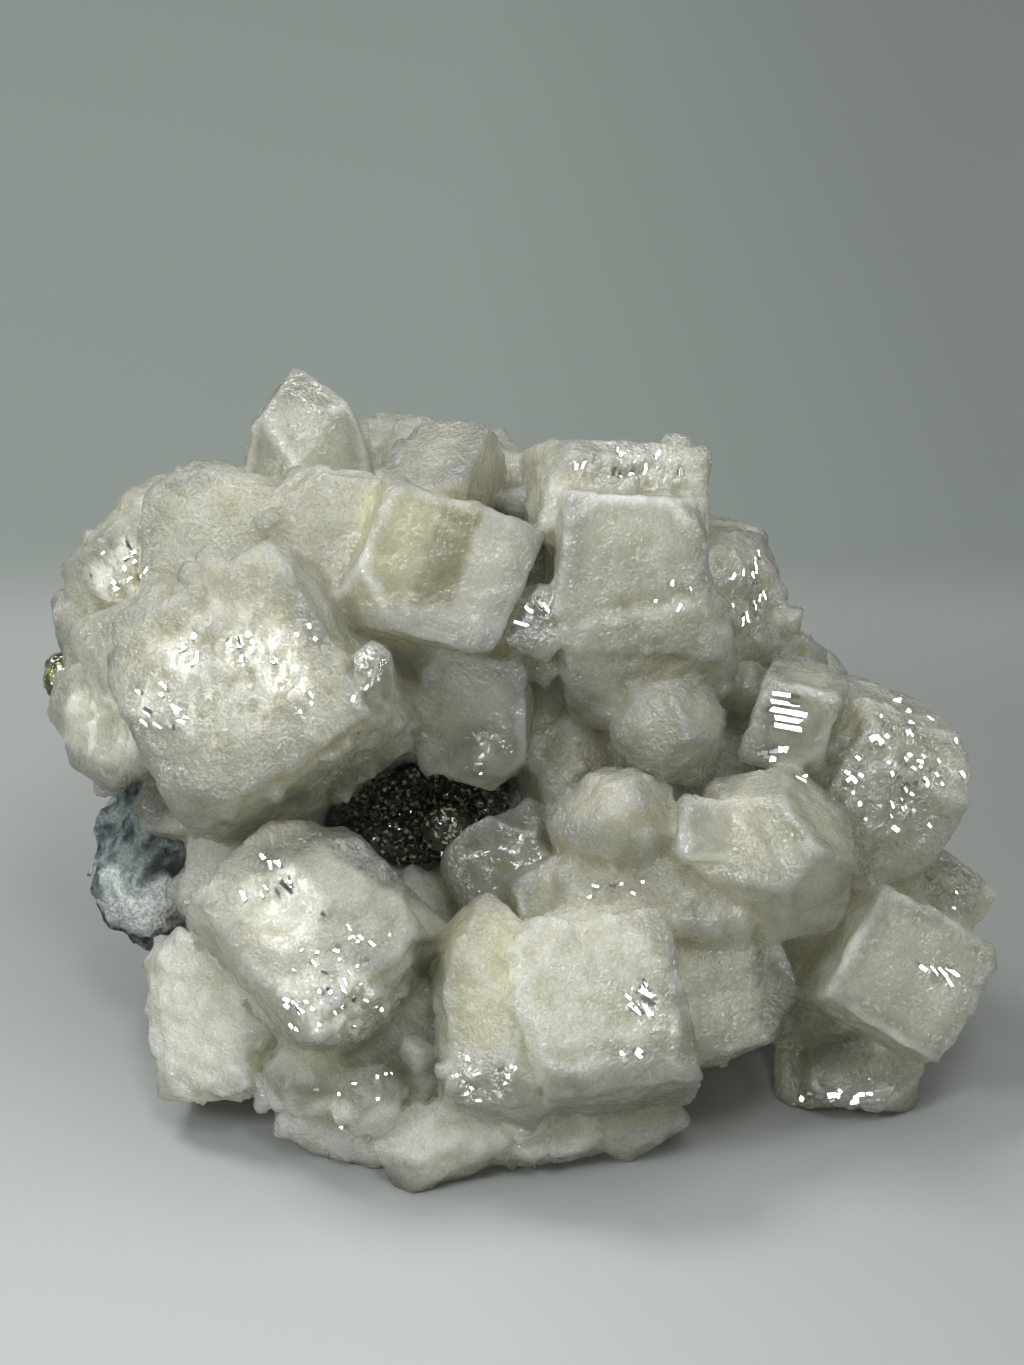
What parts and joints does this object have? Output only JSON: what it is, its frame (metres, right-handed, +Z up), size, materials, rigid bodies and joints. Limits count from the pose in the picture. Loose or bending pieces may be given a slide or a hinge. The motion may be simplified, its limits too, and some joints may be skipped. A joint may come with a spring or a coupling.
{
  "type": "calcite specimen",
  "caption": "Loose natural cluster of milky calcite crystals on a dark basalt matrix, with a small druse-lined hollow between the crystals.",
  "frame": {"origin": "on the surface that the specimen stands on, under the middle of its bounding box", "axes": "+X to the right of the display face, across the specimen's longest extent; +Y to the back; +Z up. The display face looks towards -Y and leans back by 30 degrees"},
  "size_m": [0.12, 0.0846, 0.0776],
  "materials": {
    "calcite": "milky to clear calcite, glassy faces with a frosted growth texture",
    "basalt": "dull, rough, altered basalt with green-grey stains",
    "druse": "dark sparkling quartz points",
    "green_mineral": "glassy dark olive green"
  },
  "bodies": {
    "root": {"calcite_crystals": "calcite", "basalt_matrix": "basalt", "quartz_druse": "druse", "green_grain": "green_mineral"}
  },
  "joints": []
}
